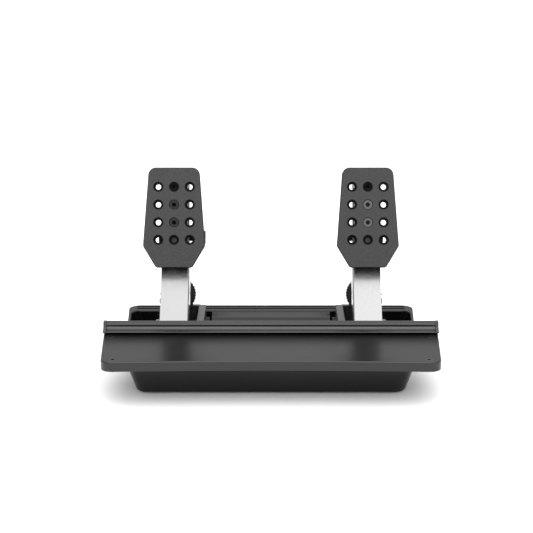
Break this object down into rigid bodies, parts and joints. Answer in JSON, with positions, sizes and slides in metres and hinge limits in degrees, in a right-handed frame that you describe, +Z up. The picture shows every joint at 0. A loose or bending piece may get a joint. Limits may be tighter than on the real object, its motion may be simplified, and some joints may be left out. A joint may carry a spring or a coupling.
{
  "type": "racing pedal set",
  "caption": "Sim racing pedal set with perforated pads on cast arms, sprung struts, a black base tray and a heel plate.",
  "frame": {"origin": "middle of the base on the floor, under the centre of the bounding box", "axes": "+X to the driver's right along the heel plate, +Y away from the driver, +Z up"},
  "size_m": [0.3374, 0.2085, 0.2062],
  "materials": {
    "tray_plastic": "fine-grained black moulding",
    "heel_plastic": "satin black moulding",
    "rail_plastic": "satin dark grey moulding",
    "pad_coat": "matte black anodised, fine grain",
    "arm_metal": "satin silver",
    "bracket_metal": "dark satin",
    "carrier_coat": "matte black",
    "wheel_plastic": "black, fluted grip",
    "steel": "bright zinc",
    "black_steel": "black oxide",
    "grey_screw": "satin",
    "spring_steel": "bright wire",
    "bronze": "sintered bronze",
    "rubber": "matte",
    "elastomer": "matte polyurethane",
    "box_plastic": "fine-grained",
    "board": "solder mask",
    "socket_metal": "satin"
  },
  "bodies": {
    "base": {"base_tray": "tray_plastic", "heel_plate": "heel_plastic", "heel_base": "tray_plastic", "heel_rail": "rail_plastic", "rail_end_caps": "rail_plastic", "heel_plate_screws": "grey_screw", "rubber_feet": "rubber", "control_box_base": "box_plastic", "control_box_cover": "box_plastic", "control_board": "board", "control_box_sockets": "socket_metal", "control_box_screws": "steel", "brake_bracket": "bracket_metal", "brake_bracket_bolts": "black_steel", "brake_pivot_bushes": "bronze", "brake_position_sensor": "box_plastic", "brake_bump_stop": "rubber", "throttle_bracket": "bracket_metal", "throttle_bracket_bolts": "black_steel", "throttle_pivot_bushes": "bronze", "throttle_position_sensor": "box_plastic", "throttle_bump_stop": "rubber"},
    "brake_lever": {"brake_arm": "arm_metal", "brake_pivot_shaft": "steel", "brake_shaft_clips": "black_steel", "brake_magnet": "steel", "brake_clevis_pin": "steel", "brake_clamp_bolt": "black_steel"},
    "brake_pad": {"brake_pad_carrier": "carrier_coat", "brake_pad_plate": "pad_coat", "brake_pad_screws": "black_steel"},
    "brake_knob": {"brake_clamp_knob": "wheel_plastic"},
    "brake_swivel": {"brake_swivel_block": "bracket_metal", "brake_trunnion_pins": "black_steel", "brake_spring_seat": "steel"},
    "brake_rod": {"brake_rod_eye": "steel", "brake_guide_rod": "steel", "brake_end_nut": "steel", "brake_return_spring": "spring_steel", "brake_load_cell": "steel", "brake_elastomer_rings": "elastomer"},
    "brake_wheel": {"brake_preload_wheel": "wheel_plastic"},
    "throttle_lever": {"throttle_arm": "arm_metal", "throttle_pivot_shaft": "steel", "throttle_shaft_clips": "black_steel", "throttle_magnet": "steel", "throttle_clevis_pin": "steel", "throttle_clamp_bolt": "black_steel"},
    "throttle_pad": {"throttle_pad_carrier": "carrier_coat", "throttle_pad_plate": "pad_coat", "throttle_pad_screws": "grey_screw"},
    "throttle_knob": {"throttle_clamp_knob": "wheel_plastic"},
    "throttle_swivel": {"throttle_swivel_block": "bracket_metal", "throttle_trunnion_pins": "black_steel", "throttle_spring_seat": "steel"},
    "throttle_rod": {"throttle_rod_eye": "steel", "throttle_guide_rod": "steel", "throttle_end_nut": "steel", "throttle_return_spring": "spring_steel"},
    "throttle_wheel": {"throttle_preload_wheel": "wheel_plastic"}
  },
  "joints": [
    {"name": "brake_press", "type": "hinge", "parent": "base", "child": "brake_lever", "pos_m": [-0.0985, 0.003, 0.04], "axis": [-1, 0, 0], "range_deg": [0, 12], "stiffness_Nm_per_rad": 60, "springref_deg": -5.73},
    {"name": "brake_pad_height", "type": "slide", "parent": "brake_lever", "child": "brake_pad", "axis": [0, 0.2924, 0.9563], "range_m": [-0.005, 0.005]},
    {"name": "brake_clamp_turn", "type": "hinge", "parent": "brake_lever", "child": "brake_knob", "pos_m": [-0.0985, 0.04639, 0.13047], "axis": [1, 0, 0], "range_deg": [0, 270]},
    {"name": "brake_strut_swivel", "type": "hinge", "parent": "base", "child": "brake_swivel", "pos_m": [-0.0985, 0.084, 0.0585], "axis": [-1, 0, 0], "range_deg": [-8, 8]},
    {"name": "brake_rod_slide", "type": "slide", "parent": "brake_swivel", "child": "brake_rod", "axis": [0, 0.9776, -0.2107], "range_m": [0, 0.01], "deforming": ["brake_return_spring", "brake_elastomer_rings"]},
    {"name": "brake_preload", "type": "hinge", "parent": "brake_swivel", "child": "brake_wheel", "pos_m": [-0.0985, 0.07097, 0.06131], "axis": [0, 0.9776, -0.2107], "range_deg": [0, 360]},
    {"name": "throttle_press", "type": "hinge", "parent": "base", "child": "throttle_lever", "pos_m": [0.0985, 0.003, 0.04], "axis": [-1, 0, 0], "range_deg": [0, 16], "stiffness_Nm_per_rad": 14, "springref_deg": -12.61},
    {"name": "throttle_pad_height", "type": "slide", "parent": "throttle_lever", "child": "throttle_pad", "axis": [0, 0.2924, 0.9563], "range_m": [-0.005, 0.005]},
    {"name": "throttle_clamp_turn", "type": "hinge", "parent": "throttle_lever", "child": "throttle_knob", "pos_m": [0.0985, 0.04639, 0.13047], "axis": [-1, 0, 0], "range_deg": [0, 270]},
    {"name": "throttle_strut_swivel", "type": "hinge", "parent": "base", "child": "throttle_swivel", "pos_m": [0.0985, 0.084, 0.0585], "axis": [-1, 0, 0], "range_deg": [-8, 8]},
    {"name": "throttle_rod_slide", "type": "slide", "parent": "throttle_swivel", "child": "throttle_rod", "axis": [0, 0.9776, -0.2107], "range_m": [0, 0.01], "deforming": ["throttle_return_spring"]},
    {"name": "throttle_preload", "type": "hinge", "parent": "throttle_swivel", "child": "throttle_wheel", "pos_m": [0.0985, 0.07097, 0.06131], "axis": [0, 0.9776, -0.2107], "range_deg": [0, 360]}
  ],
  "couplings": [
    {"joint": "brake_strut_swivel", "follows": "brake_press", "ratio": -0.372},
    {"joint": "brake_rod_slide", "follows": "brake_press", "m_per_rad": 0.032507},
    {"joint": "throttle_strut_swivel", "follows": "throttle_press", "ratio": -0.4077},
    {"joint": "throttle_rod_slide", "follows": "throttle_press", "m_per_rad": 0.031234}
  ]
}
